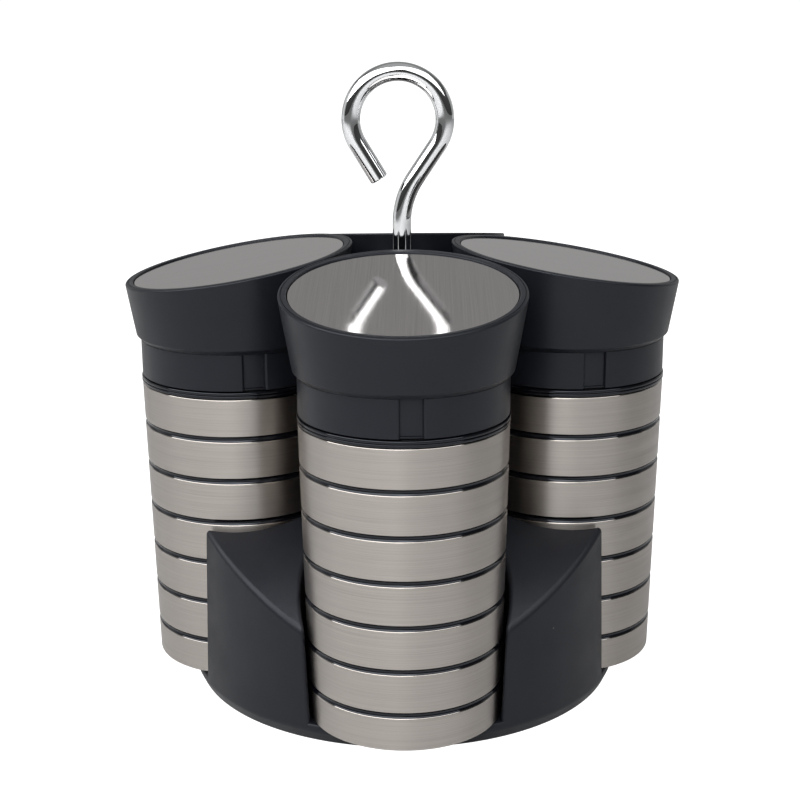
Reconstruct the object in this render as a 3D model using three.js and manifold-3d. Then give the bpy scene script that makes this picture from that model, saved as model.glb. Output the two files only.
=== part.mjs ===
// Spice carousel: four slanted-cap jars in a turning tray with a hooked carrying pole.
// Millimetres, +Z up. The origin is the centre of the turntable, on the surface it stands on.
import * as THREE from 'three';
import { mergeVertices } from 'three/addons/utils/BufferGeometryUtils.js';
import Module from 'manifold-3d';

const wasm = await Module();
wasm.setup();

// ---------------------------------------------------------------- driving dimensions
const GAP = 0.3;                 // clearance between touching pieces
const PAST = 1;                  // how far a cutting shape reaches past what it cuts
const WIDE = 200;                // wider than the whole object
const ROUND = 24;                // sides of the jars' round pieces
const BASE_ROUND = 48;           // sides of the tray
const SOCKET_ROUND = 32;         // sides of a jar socket and of the foot
const SMALL_ROUND = 16;          // sides of small round pieces

// Turntable foot
const PAD = { radius: 5, height: 1.2, ring: 40 };
const PLATE = { radius: 50, bottom: PAD.height + GAP, thickness: 1.8 };
const BOSS = { radius: 12, top: 10, bore: 2.9, pocketRadius: 7, pocketTop: 8 };
const RACE = { inner: 34, outer: 40, thickness: 1.6 };

// Tray
const TRAY_BOTTOM = 3;           // height of the tray's lower edge
const TRAY = {
  footRadius: 58.2,
  skirtRadius: 59.7,
  skirtRise: 3.2,
  topRadius: 59.2,
  topRise: 53.2,
  wall: 2.2,
  floor: 2.45,
};
const SOCKET_FLOOR = TRAY_BOTTOM + 4.95;
const SOCKET = { radius: 25.75, slope: 0.033, height: 52 };
const ARCH = { radius: 73, apex: TRAY_BOTTOM + TRAY.topRise, halfWidth: 64 };
const THRUST_WASHER = { height: 1 };
const HUB = { radius: 8, bottom: BOSS.top + 2 * GAP + THRUST_WASHER.height, bore: 2.8 };

// Pole, bent from round bar in the XZ plane
const POLE = {
  radius: 2.5,
  bottom: 1.8,
  straightTop: 128.6,
  bendRadius: 22,
  bendAngle: THREE.MathUtils.degToRad(34),
  neckLength: 10.2,
  loopRadius: 12.5,
  loopTurn: THREE.MathUtils.degToRad(245.2),
  tipLength: 10.9,
  sides: 10,
  steps: 56,
};
const FERRULE = { outer: 5.5, height: 5 };
const NUT = { acrossFlats: 8, height: 4, bottom: 2.6 };
const PIVOT_WASHER = { radius: 6.4, height: 0.8 };

// Jars: heights are above the jar's own underside
const JAR_RING = 45.11;          // distance from the pole to a jar's axis
const JAR_BOTTOM = SOCKET_FLOOR + GAP;
const SLEEVE = { footRadius: 24.85, slope: 0.0209, height: 78.31, wall: 0.8, edge: 0.5 };
const GROOVE = { count: 6, first: 67.43, pitch: 11.58, width: 1.4, depth: 0.6 };
const INNER = {
  gap: 0.5,
  wall: 1.6,
  bottom: 0.6,
  floor: 2.8,
  straightTop: 74,
  ringRadius: 26.65,
  ringTop: 80.25,
  shoulder: 79.2,
};
const NECK = { radius: 21.5, bore: 19.9, top: 87 };
const COLLAR = { radius: 26.4, wall: 0.7, top: 90.25, sill: 0.5, web: 2.45, webBore: 21.9, webRadius: 24 };
const WINDOW = { width: 6.4, depth: 1.2 };
const CAP = {
  bottom: COLLAR.top + GAP,
  bottomRadius: 27.4,
  chamfer: 1,
  flare: 0.1735,
  wall: 1.9,
  axisHeight: 110.37,            // height of the slanted top on the axis
  rise: 10,                      // the slant's rise above that stays under this
  tilt: THREE.MathUtils.degToRad(9.43),
  lip: 2.2,
  pocketBottom: 96,
  skirtRadius: 25.4,
  skirtWall: 1.1,
  spoutBar: 1,                   // skirt left above and below the pouring opening
};
const DISC = { recess: 0.4, thickness: 0.8, deck: 1.6 };
const SEAL = { radius: 25 };
const SHAKER = {
  radius: 19.5,
  flange: 21.3,
  flangeHeight: 1,
  wall: 1.2,
  drop: 2.5,
  holeRadius: 1.6,
  holeRing: 10,
  holes: 5,
  holeStep: 30,                  // degrees from one sifting hole to the next
  holeSides: 8,
  pourNear: 3,                   // the pouring opening's edge nearest the axis
  pourLength: 12.5,
  pourWidth: 18,
};

// Each jar's place round the pole, the turn of its cap and where its pouring window looks, in degrees
const JARS = [
  { name: 'front', place: 270, capTurn: -1.1, window: 3.7 },
  { name: 'right', place: 0, capTurn: 5.4, window: -79.4 },
  { name: 'rear', place: 90, capTurn: 0, window: 95 },
  { name: 'left', place: 180, capTurn: 5, window: 104.3 },
];

// ---------------------------------------------------------------- materials
function finish(color, roughness, metalness) {
  return new THREE.MeshStandardMaterial({ color, roughness, metalness });
}

const MATERIALS = {
  mattePlastic: finish(0x2b2d31, 0.6, 0),
  glossPlastic: finish(0x101113, 0.12, 0),
  brushedSteel: finish(0xa9a49d, 0.35, 1),
  chrome: finish(0xd6d8da, 0.06, 1),
  zinc: finish(0x9a9da0, 0.4, 1),
  nylon: finish(0xd9d8d2, 0.5, 0),
  rubber: finish(0x1a1a1b, 0.9, 0),
};

// ---------------------------------------------------------------- helpers
const radians = THREE.MathUtils.degToRad;

// Turns a profile of [radius, height] pairs about the Z axis.
function turned(profile, sides = ROUND) {
  const points = profile.map(([radius, height]) => new THREE.Vector2(radius, height));
  return new THREE.LatheGeometry(points, sides).rotateX(Math.PI / 2);
}

// Turns a profile that closes on itself, for rings and tubes.
function ring(profile, sides = ROUND) {
  return turned([...profile, profile[0]], sides);
}

function flatRing(inner, outer, bottom, height, sides = ROUND) {
  return ring([[inner, bottom], [outer, bottom], [outer, bottom + height], [inner, bottom + height]], sides);
}

function disc(radius, bottom, height, sides = ROUND) {
  return turned([[0, bottom], [radius, bottom], [radius, bottom + height], [0, bottom + height]], sides);
}

// A block whose lower corner and size are given.
function block([x, y, z], [sizeX, sizeY, sizeZ]) {
  return new THREE.BoxGeometry(sizeX, sizeY, sizeZ).translate(x + sizeX / 2, y + sizeY / 2, z + sizeZ / 2);
}

function solid(geometry) {
  const bare = geometry.clone();
  bare.deleteAttribute('normal');
  bare.deleteAttribute('uv');
  const merged = mergeVertices(bare, 1e-4);
  const corners = merged.index.array;
  const kept = [];
  for (let i = 0; i < corners.length; i += 3) {
    const [a, b, c] = corners.subarray(i, i + 3);
    if (a !== b && b !== c && c !== a) kept.push(a, b, c);
  }
  const vertProperties = merged.attributes.position.array;
  const triVerts = Uint32Array.from(kept);
  return new wasm.Manifold(new wasm.Mesh({ numProp: 3, vertProperties, triVerts }));
}

function geometryOf(body) {
  const mesh = body.getMesh();
  const geometry = new THREE.BufferGeometry();
  geometry.setAttribute('position', new THREE.BufferAttribute(mesh.vertProperties, 3));
  geometry.setIndex(new THREE.BufferAttribute(mesh.triVerts, 1));
  geometry.computeVertexNormals();
  return geometry;
}

function piece(name, geometry, material) {
  const mesh = new THREE.Mesh(geometry, material);
  mesh.name = name;
  return mesh;
}

// ---------------------------------------------------------------- turntable foot
function footPlate() {
  const top = PLATE.bottom + PLATE.thickness;
  return ring([
    [BOSS.pocketRadius, PLATE.bottom],
    [PLATE.radius, PLATE.bottom],
    [PLATE.radius, top],
    [BOSS.radius, top],
    [BOSS.radius, BOSS.top],
    [BOSS.bore, BOSS.top],
    [BOSS.bore, BOSS.pocketTop],
    [BOSS.pocketRadius, BOSS.pocketTop],
  ], SOCKET_ROUND);
}

function buildFoot() {
  const foot = new THREE.Group();
  foot.add(piece('foot_plate', footPlate(), MATERIALS.mattePlastic));
  for (let i = 0; i < 4; i += 1) {
    const angle = radians(45 + 90 * i);
    const pad = piece(`foot_pad_${i + 1}`, disc(PAD.radius, 0, PAD.height, SMALL_ROUND), MATERIALS.rubber);
    pad.position.set(PAD.ring * Math.cos(angle), PAD.ring * Math.sin(angle), 0);
    foot.add(pad);
  }
  const raceBottom = PLATE.bottom + PLATE.thickness + GAP;
  const race = flatRing(RACE.inner, RACE.outer, raceBottom, RACE.thickness, SOCKET_ROUND);
  foot.add(piece('bearing_race', race, MATERIALS.nylon));
  return foot;
}

// ---------------------------------------------------------------- tray
// The tray's turned outside, drawn in by inset and started lower down by drop.
function trayBlank(inset, drop) {
  return turned([
    [0, TRAY_BOTTOM - drop],
    [TRAY.footRadius - inset, TRAY_BOTTOM - drop],
    [TRAY.skirtRadius - inset, TRAY_BOTTOM + TRAY.skirtRise],
    [TRAY.topRadius - inset, TRAY_BOTTOM + TRAY.topRise],
    [0, TRAY_BOTTOM + TRAY.topRise],
  ], BASE_ROUND);
}

// Everything under the arched top, which curves down to the front and the rear.
function underArch(lowering) {
  const centre = ARCH.apex - lowering - ARCH.radius;
  const shoulder = Math.acos(ARCH.halfWidth / ARCH.radius);
  const outline = new THREE.Shape();
  outline.moveTo(-ARCH.halfWidth, -PAD.height);
  outline.lineTo(ARCH.halfWidth, -PAD.height);
  outline.absarc(0, centre, ARCH.radius, shoulder, Math.PI - shoulder, false);
  const depth = 2 * ARCH.halfWidth;
  const arch = new THREE.ExtrudeGeometry(outline, { depth, bevelEnabled: false, curveSegments: 20 });
  arch.translate(0, 0, -ARCH.halfWidth);
  const alongX = new THREE.Matrix4().makeBasis(
    new THREE.Vector3(0, 1, 0),
    new THREE.Vector3(0, 0, 1),
    new THREE.Vector3(1, 0, 0),
  );
  return solid(arch.applyMatrix4(alongX));
}

// One jar socket, or with a wall thickness the outside of its wall and floor.
function socket(place, wall, floor) {
  const bottom = SOCKET_FLOOR - floor;
  const top = SOCKET_FLOOR + SOCKET.height;
  const radius = SOCKET.radius + wall;
  const shape = turned([
    [0, bottom],
    [radius, bottom],
    [radius + SOCKET.slope * SOCKET.height, top],
    [0, top],
  ], SOCKET_ROUND);
  const angle = radians(place);
  return solid(shape.translate(JAR_RING * Math.cos(angle), JAR_RING * Math.sin(angle), 0));
}

function baseTray() {
  let hollow = solid(trayBlank(TRAY.wall, PAST)).intersect(underArch(TRAY.wall));
  hollow = hollow.subtract(solid(disc(HUB.radius, HUB.bottom, ARCH.apex, ROUND)));
  let tray = solid(trayBlank(0, 0)).intersect(underArch(0));
  for (const { place } of JARS) {
    hollow = hollow.subtract(socket(place, TRAY.wall, TRAY.floor));
    tray = tray.subtract(socket(place, 0, 0));
  }
  const bore = solid(disc(HUB.bore, 0, ARCH.apex + PAST, SMALL_ROUND));
  return geometryOf(tray.subtract(hollow).subtract(bore));
}

// ---------------------------------------------------------------- pole
// An arc in the XZ plane, from one angle to another about a centre.
class BendCurve extends THREE.Curve {
  constructor(centre, radius, start, turn) {
    super();
    Object.assign(this, { centre, radius, start, turn });
  }

  getPoint(t, target = new THREE.Vector3()) {
    const angle = this.start + this.turn * t;
    return target.set(Math.cos(angle), 0, Math.sin(angle)).multiplyScalar(this.radius).add(this.centre);
  }
}

function poleHook() {
  const { bendAngle, bendRadius, loopRadius, loopTurn } = POLE;
  const foot = new THREE.Vector3(0, 0, POLE.bottom);
  const bendStart = new THREE.Vector3(0, 0, POLE.straightTop);
  const bendCentre = new THREE.Vector3(bendRadius, 0, POLE.straightTop);
  const bend = new BendCurve(bendCentre, bendRadius, Math.PI, -bendAngle);
  const neckWay = new THREE.Vector3(Math.sin(bendAngle), 0, Math.cos(bendAngle));
  const neckEnd = bend.getPoint(1).addScaledVector(neckWay, POLE.neckLength);
  const inward = new THREE.Vector3(-Math.cos(bendAngle), 0, Math.sin(bendAngle));
  const loopCentre = neckEnd.clone().addScaledVector(inward, loopRadius);
  const loop = new BendCurve(loopCentre, loopRadius, -bendAngle, loopTurn);
  const tipAngle = loopTurn - bendAngle;
  const tipWay = new THREE.Vector3(-Math.sin(tipAngle), 0, Math.cos(tipAngle));
  const tip = loop.getPoint(1).addScaledVector(tipWay, POLE.tipLength);

  const path = new THREE.CurvePath();
  path.add(new THREE.LineCurve3(foot, bendStart));
  path.add(bend);
  path.add(new THREE.LineCurve3(bend.getPoint(1), neckEnd));
  path.add(loop);
  path.add(new THREE.LineCurve3(loop.getPoint(1), tip));

  const section = new THREE.Shape();
  for (let i = 0; i < POLE.sides; i += 1) {
    const angle = 2 * Math.PI * i / POLE.sides;
    const method = i === 0 ? 'moveTo' : 'lineTo';
    section[method](POLE.radius * Math.cos(angle), POLE.radius * Math.sin(angle));
  }
  return new THREE.ExtrudeGeometry(section, { steps: POLE.steps, extrudePath: path });
}

function pivotNut() {
  const radius = NUT.acrossFlats / 2 / Math.cos(Math.PI / 6);
  const blank = solid(disc(radius, NUT.bottom, NUT.height, 6));
  const bore = solid(disc(HUB.bore, NUT.bottom - PAST, NUT.height + 2 * PAST, SMALL_ROUND));
  return geometryOf(blank.subtract(bore));
}

function buildTray() {
  const tray = new THREE.Group();
  tray.add(piece('base_tray', baseTray(), MATERIALS.mattePlastic));
  tray.add(piece('pole_hook', poleHook(), MATERIALS.chrome));
  const ferrule = flatRing(HUB.bore, FERRULE.outer, ARCH.apex + GAP, FERRULE.height, SMALL_ROUND);
  tray.add(piece('pole_ferrule', ferrule, MATERIALS.mattePlastic));
  const thrustWasher = flatRing(BOSS.bore, HUB.radius, BOSS.top + GAP, THRUST_WASHER.height);
  tray.add(piece('thrust_washer', thrustWasher, MATERIALS.nylon));
  tray.add(piece('pivot_nut', pivotNut(), MATERIALS.zinc));
  const washerBottom = NUT.bottom + NUT.height + GAP;
  const pivotWasher = flatRing(BOSS.bore, PIVOT_WASHER.radius, washerBottom, PIVOT_WASHER.height);
  tray.add(piece('pivot_washer', pivotWasher, MATERIALS.zinc));
  return tray;
}

// ---------------------------------------------------------------- jars
const sleeveRadius = (height) => SLEEVE.footRadius + SLEEVE.slope * height;

// Brushed jacket with rolled grooves, open at both ends.
function steelSleeve() {
  const outside = [[sleeveRadius(0) - SLEEVE.edge, 0], [sleeveRadius(0), SLEEVE.edge]];
  for (let i = GROOVE.count - 1; i >= 0; i -= 1) {
    const centre = GROOVE.first - GROOVE.pitch * i;
    const radius = sleeveRadius(centre);
    outside.push([radius, centre - GROOVE.width / 2]);
    outside.push([radius - GROOVE.depth, centre]);
    outside.push([radius, centre + GROOVE.width / 2]);
  }
  outside.push([sleeveRadius(SLEEVE.height), SLEEVE.height]);
  const inside = [
    [sleeveRadius(SLEEVE.height) - SLEEVE.wall, SLEEVE.height],
    [sleeveRadius(0) - SLEEVE.wall, 0],
  ];
  return ring([...outside, ...inside]);
}

// Container that holds the spice, with a gloss shoulder ring and a neck.
function jarInner() {
  const inset = SLEEVE.wall + INNER.gap;
  const inside = inset + INNER.wall;
  const ringBottom = SLEEVE.height + GAP;
  return turned([
    [0, INNER.bottom],
    [sleeveRadius(0) - inset, INNER.bottom],
    [sleeveRadius(SLEEVE.height) - inset, ringBottom],
    [INNER.ringRadius, ringBottom],
    [INNER.ringRadius, INNER.ringTop],
    [COLLAR.radius - COLLAR.wall, INNER.ringTop],
    [COLLAR.radius - COLLAR.wall, INNER.shoulder],
    [NECK.radius, INNER.shoulder],
    [NECK.radius, NECK.top],
    [NECK.bore, NECK.top],
    [NECK.bore, INNER.shoulder - INNER.wall],
    [sleeveRadius(INNER.straightTop) - inside, INNER.straightTop],
    [sleeveRadius(0) - inside, INNER.floor],
    [0, INNER.floor],
  ]);
}

// Insert that hangs in the neck by its flange: a pouring opening on one side, sifting holes on the other.
function shakerInsert() {
  const top = NECK.top + GAP + SHAKER.flangeHeight;
  const bottom = NECK.top - SHAKER.drop;
  let insert = solid(turned([
    [0, bottom],
    [SHAKER.radius, bottom],
    [SHAKER.radius, NECK.top + GAP],
    [SHAKER.flange, NECK.top + GAP],
    [SHAKER.flange, top],
    [SHAKER.radius - SHAKER.wall, top],
    [SHAKER.radius - SHAKER.wall, bottom + SHAKER.wall],
    [0, bottom + SHAKER.wall],
  ], SMALL_ROUND));
  const cutDepth = SHAKER.wall + 2 * PAST;
  const pourCorner = [SHAKER.pourNear, -SHAKER.pourWidth / 2, bottom - PAST];
  insert = insert.subtract(solid(block(pourCorner, [SHAKER.pourLength, SHAKER.pourWidth, cutDepth])));
  for (let i = 0; i < SHAKER.holes; i += 1) {
    const angle = Math.PI + radians(SHAKER.holeStep * (i - (SHAKER.holes - 1) / 2));
    const hole = disc(SHAKER.holeRadius, bottom - PAST, cutDepth, SHAKER.holeSides);
    hole.translate(SHAKER.holeRing * Math.cos(angle), SHAKER.holeRing * Math.sin(angle), 0);
    insert = insert.subtract(solid(hole));
  }
  return geometryOf(insert);
}

// Lid ring on the neck: a web grips the neck, a sill joins it to the outer wall, and a slot through
// the wall above the sill is the pouring window.
function collar() {
  const bottom = INNER.ringTop + GAP;
  const inside = COLLAR.radius - COLLAR.wall;
  const body = solid(ring([
    [COLLAR.webBore, bottom],
    [COLLAR.radius, bottom],
    [COLLAR.radius, COLLAR.top],
    [inside, COLLAR.top],
    [inside, bottom + COLLAR.sill],
    [COLLAR.webRadius, bottom + COLLAR.sill],
    [COLLAR.webRadius, bottom + COLLAR.web],
    [COLLAR.webBore, bottom + COLLAR.web],
  ]));
  const slotCorner = [COLLAR.radius - WINDOW.depth, -WINDOW.width / 2, bottom + COLLAR.sill];
  const slot = block(slotCorner, [WINDOW.depth + PAST, WINDOW.width, COLLAR.top]);
  return geometryOf(body.subtract(solid(slot)));
}

// Space below a plane parallel to the cap's slanted top, at a depth under it.
function belowSlant(depth) {
  const space = block([-WIDE / 2, -WIDE / 2, -WIDE - depth], [WIDE, WIDE, WIDE]);
  return solid(space.rotateY(CAP.tilt).translate(0, 0, CAP.axisHeight));
}

// The cap's flaring outside, drawn in by inset, from a height up to past its rim.
function capCone(inset, bottom) {
  const top = CAP.axisHeight + CAP.rise;
  const radiusAt = (height) => CAP.bottomRadius + CAP.flare * (height - CAP.bottom) - inset;
  return [[radiusAt(bottom), bottom], [radiusAt(top), top], [0, top]];
}

// Twist cap: high side towards the pole, a skirt inside the collar and a pocket for the steel disc.
function cap() {
  const skirtBottom = INNER.ringTop + GAP + COLLAR.sill + GAP;
  const skirtInside = CAP.skirtRadius - CAP.skirtWall;
  const outside = turned([
    [0, skirtBottom],
    [CAP.skirtRadius, skirtBottom],
    [CAP.skirtRadius, CAP.bottom],
    [CAP.bottomRadius - CAP.chamfer, CAP.bottom],
    ...capCone(0, CAP.bottom + CAP.chamfer),
  ]);
  const inside = turned([
    [0, skirtBottom - PAST],
    [skirtInside, skirtBottom - PAST],
    [skirtInside, CAP.bottom],
    ...capCone(CAP.wall, CAP.bottom + CAP.wall),
  ]);
  const pocket = turned([[0, CAP.pocketBottom], ...capCone(CAP.lip, CAP.pocketBottom)]);
  const deckTop = DISC.recess + DISC.thickness + GAP;
  const hollow = solid(inside).intersect(belowSlant(deckTop + DISC.deck));
  const recess = solid(pocket).subtract(belowSlant(deckTop));
  const spoutCorner = [-CAP.skirtRadius - PAST, -WINDOW.width / 2, skirtBottom + CAP.spoutBar];
  const spoutHeight = CAP.bottom - skirtBottom - 2 * CAP.spoutBar;
  const spout = block(spoutCorner, [CAP.skirtWall + 2 * PAST, WINDOW.width, spoutHeight]);
  const body = solid(outside).intersect(belowSlant(0)).subtract(hollow).subtract(recess);
  return geometryOf(body.subtract(solid(spout)));
}

function capDisc() {
  const cone = solid(turned([[0, CAP.pocketBottom], ...capCone(CAP.lip + GAP, CAP.pocketBottom)]));
  const slab = cone.intersect(belowSlant(DISC.recess)).subtract(belowSlant(DISC.recess + DISC.thickness));
  return geometryOf(slab);
}

// A jar in its own frame: outward is +X, and its axis is Z.
function buildJar({ name, place, capTurn, window }) {
  const jar = new THREE.Group();
  const angle = radians(place);
  jar.position.set(JAR_RING * Math.cos(angle), JAR_RING * Math.sin(angle), JAR_BOTTOM);
  jar.rotation.z = angle;
  const sealBottom = INNER.shoulder + GAP;
  const seal = flatRing(NECK.radius + GAP, SEAL.radius, sealBottom, INNER.ringTop - sealBottom);
  jar.add(piece(`jar_inner_${name}`, jarInner(), MATERIALS.glossPlastic));
  jar.add(piece(`steel_sleeve_${name}`, steelSleeve(), MATERIALS.brushedSteel));
  jar.add(piece(`neck_seal_${name}`, seal, MATERIALS.rubber));
  const insert = piece(`shaker_insert_${name}`, shakerInsert(), MATERIALS.mattePlastic);
  insert.rotation.z = radians(window);
  jar.add(insert);
  const collarRing = piece(`lid_collar_${name}`, collar(), MATERIALS.mattePlastic);
  collarRing.rotation.z = radians(window);
  jar.add(collarRing);
  const lid = new THREE.Group();
  lid.rotation.z = radians(capTurn);
  lid.add(piece(`slant_cap_${name}`, cap(), MATERIALS.mattePlastic));
  lid.add(piece(`cap_disc_${name}`, capDisc(), MATERIALS.brushedSteel));
  jar.add(lid);
  return jar;
}

// ---------------------------------------------------------------- assembly
const carousel = new THREE.Group();
carousel.add(buildFoot());
carousel.add(buildTray());
for (const jar of JARS) carousel.add(buildJar(jar));

export default carousel;
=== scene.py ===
"""Spice carousel: the visible pieces and their materials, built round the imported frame. Metres, +Z up."""

import math

import bmesh
import bpy
from mathutils import Matrix, Vector


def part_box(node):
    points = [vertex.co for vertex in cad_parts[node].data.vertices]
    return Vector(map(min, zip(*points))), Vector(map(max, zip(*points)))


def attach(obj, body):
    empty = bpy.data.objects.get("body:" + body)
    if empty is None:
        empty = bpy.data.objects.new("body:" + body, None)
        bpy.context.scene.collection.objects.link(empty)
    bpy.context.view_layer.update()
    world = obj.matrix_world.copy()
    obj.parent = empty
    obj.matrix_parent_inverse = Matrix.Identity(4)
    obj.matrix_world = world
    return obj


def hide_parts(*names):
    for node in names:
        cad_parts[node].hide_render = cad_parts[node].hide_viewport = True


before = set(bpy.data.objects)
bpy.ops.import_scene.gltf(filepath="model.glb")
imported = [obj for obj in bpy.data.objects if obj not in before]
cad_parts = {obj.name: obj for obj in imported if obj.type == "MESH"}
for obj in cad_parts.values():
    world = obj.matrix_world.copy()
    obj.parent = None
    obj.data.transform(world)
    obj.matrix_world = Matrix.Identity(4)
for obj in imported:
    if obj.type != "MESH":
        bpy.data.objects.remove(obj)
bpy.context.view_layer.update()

MM = 0.001
UP = Vector((0, 0, 1))

# ------------------------------------------------------------------ sizes taken from the frame
JARS = ("front", "right", "rear", "left")


def middle(node):
    low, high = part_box(node)
    return (low + high) / 2


def height_span(node):
    low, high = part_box(node)
    return low.z, high.z


jar_middle = {name: middle(f"jar_inner_{name}") for name in JARS}
JAR_RING = abs(jar_middle["front"].y)
SLEEVE_LOW, SLEEVE_HIGH = height_span("steel_sleeve_front")
COLLAR_LOW, COLLAR_HIGH = height_span("lid_collar_front")
RING_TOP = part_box("neck_seal_front")[1].z
NECK_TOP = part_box("jar_inner_front")[1].z
TRAY_LOW, TRAY_HIGH = height_span("base_tray")

# ------------------------------------------------------------------ design sizes, as the CAD has them
GAP = 0.3 * MM

# Turntable foot
PLATE_THICKNESS = 1.8 * MM
BOSS_RADIUS = 12 * MM
BOSS_BORE = 2.9 * MM
POCKET_RADIUS = 7 * MM
POCKET_TOP = 8 * MM
RACE_BORE = 34 * MM

# Jars. The grooves are a little wider than in the CAD, where they are 1.4 mm
SLEEVE_FOOT_RADIUS = 24.85 * MM
SLEEVE_SLOPE = 0.0209
SLEEVE_WALL = 0.8 * MM
GROOVE_COUNT = 6
GROOVE_FIRST = 67.43 * MM
GROOVE_PITCH = 11.58 * MM
GROOVE_WIDTH = 1.55 * MM
GROOVE_DEPTH = 0.6 * MM
INNER_GAP = 0.5 * MM
INNER_WALL = 1.6 * MM
INNER_BOTTOM = 0.6 * MM
INNER_FLOOR = 2.8 * MM
INNER_STRAIGHT_TOP = 74 * MM
NECK_RING_RADIUS = 26.65 * MM
NECK_RADIUS = 21.5 * MM
NECK_BORE = 19.9 * MM
SHOULDER_TOP = 79.2 * MM
SEAL_RADIUS = 25 * MM
SHAKER_RADIUS = 19.5 * MM
SHAKER_FLANGE = 21.3 * MM
SHAKER_WALL = 1.2 * MM
SIFTING_HOLES = 5
SIFTING_HOLE_RADIUS = 1.6 * MM
SIFTING_RING = 10 * MM
SIFTING_STEP = 30                # degrees from one sifting hole to the next
POUR_NEAR = 3 * MM
POUR_FAR = 15.5 * MM
POUR_HALF_WIDTH = 9 * MM

# Lids. Turns are in degrees, about each jar's own axis
COLLAR_RADIUS = 26.4 * MM
COLLAR_WALL = 0.7 * MM
COLLAR_WEB = 2.45 * MM
COLLAR_WEB_BORE = 21.9 * MM
COLLAR_WEB_RADIUS = 24 * MM
COLLAR_SILL = 0.5 * MM
WINDOW_WIDTH = 6.4 * MM
WINDOW_TURN = {"front": 3.7, "right": -79.4, "rear": 95, "left": 104.3}
CAP_TURN = {"front": -1.1, "right": 5.4, "rear": 0, "left": 5}
CAP_RADIUS = 27.4 * MM
CAP_CHAMFER = 1 * MM
CAP_FLARE = 0.1735
CAP_WALL = 1.9 * MM
CAP_AXIS_HEIGHT = 110.37 * MM
CAP_TILT = math.radians(9.43)
CAP_LIP = 2.2 * MM
SKIRT_RADIUS = 25.4 * MM
SKIRT_WALL = 1.1 * MM
DISC_RECESS = 0.4 * MM
DISC_THICKNESS = 0.8 * MM
DECK_THICKNESS = 1.6 * MM

# Tray
TRAY_FOOT_RADIUS = 58.2 * MM
TRAY_SKIRT_RADIUS = 59.7 * MM
TRAY_SKIRT_RISE = 3.2 * MM
TRAY_TOP_RADIUS = 59.2 * MM
TRAY_WALL = 2.2 * MM
TRAY_FLOOR = 2.45 * MM
HUB_RADIUS = 8 * MM
HUB_BOTTOM = 11.6 * MM
HUB_BORE = 2.8 * MM
SOCKET_FLOOR = TRAY_LOW + 4.95 * MM
SOCKET_RADIUS = 25.75 * MM
SOCKET_SLOPE = 0.033
ARCH_RADIUS = 73 * MM

# Pole, bent in the XZ plane
POLE_RADIUS = 2.5 * MM
POLE_STRAIGHT_TOP = 128.6 * MM
POLE_BEND_RADIUS = 22 * MM
POLE_BEND_ANGLE = math.radians(34)
POLE_NECK = 10.2 * MM
LOOP_RADIUS = 12.5 * MM
LOOP_TURN = math.radians(245.2)
TIP_LENGTH = 10.9 * MM

ROUND = 144                      # sides of the round pieces

# ------------------------------------------------------------------ camera and studio
CAMERA_PLACE = (-1.97 * MM, -420.67 * MM, 192.39 * MM)
CAMERA_YAW = -0.0028
CAMERA_PITCH = math.pi / 2 - 0.2628
CAMERA_ROLL = -0.0063
CAMERA_LENS = 70.48

# Direction's upward part, and how bright the room is there
ROOM_GLOW = ((0.0, 0.04), (0.4, 0.06), (0.75, 0.13), (0.95, 0.4))
LIGHT_TARGET = Vector((0, 0, 70 * MM))
FLOOR_REACH = 30
DOME_RADIUS = 5                  # well inside the clip distance of every view

# Name, azimuth, elevation, distance, width, height and glow of each light.
# Azimuth 0 is the camera's side, and it grows to the right
SOFTBOXES = (
    ("softbox_left", -46, 44, 1.0, 1.7, 0.75, 3.85),
    ("softbox_right", 36, 46, 1.0, 1.0, 0.75, 2.2),
    ("side_left", -100, 14, 1.2, 0.7, 1.1, 0.4),
    ("back_low", 180, 10, 2.0, 4.2, 1.1, 0.31),
    ("back_high", 180, 36, 2.0, 3.0, 0.9, 0.215),
    ("rear_left", -122, 12, 2.0, 1.6, 1.0, 0.3),
    ("rear_right", 122, 12, 2.0, 1.6, 1.0, 0.3),
)


def make_camera():
    camera = bpy.data.objects.new("camera", bpy.data.cameras.new("camera"))
    bpy.context.scene.collection.objects.link(camera)
    camera.data.lens = CAMERA_LENS
    camera.data.sensor_width = 36
    camera.data.clip_start = 0.01
    camera.data.clip_end = 50
    turn = Matrix.Rotation(CAMERA_YAW, 4, "Z") @ Matrix.Rotation(CAMERA_PITCH, 4, "X")
    turn = turn @ Matrix.Rotation(CAMERA_ROLL, 4, "Z")
    camera.matrix_world = Matrix.Translation(CAMERA_PLACE) @ turn
    bpy.context.scene.camera = camera


def softbox(name, azimuth, elevation, distance, width, tall, glow):
    """A rectangular light that faces the jars and only lights them: the camera doesn't see it."""
    light = bpy.data.lights.new(name, "AREA")
    light.shape = "RECTANGLE"
    light.size = width
    light.size_y = tall
    light.energy = glow * math.pi * width * tall
    lamp = bpy.data.objects.new(name, light)
    bpy.context.scene.collection.objects.link(lamp)
    lamp.visible_camera = False
    turn, lift = math.radians(azimuth), math.radians(elevation)
    way = Vector((math.cos(lift) * math.sin(turn), -math.cos(lift) * math.cos(turn), math.sin(lift)))
    facing = (-way).to_track_quat("-Z", "Y").to_matrix().to_4x4()
    lamp.matrix_world = Matrix.Translation(LIGHT_TARGET + way * distance) @ facing


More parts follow.
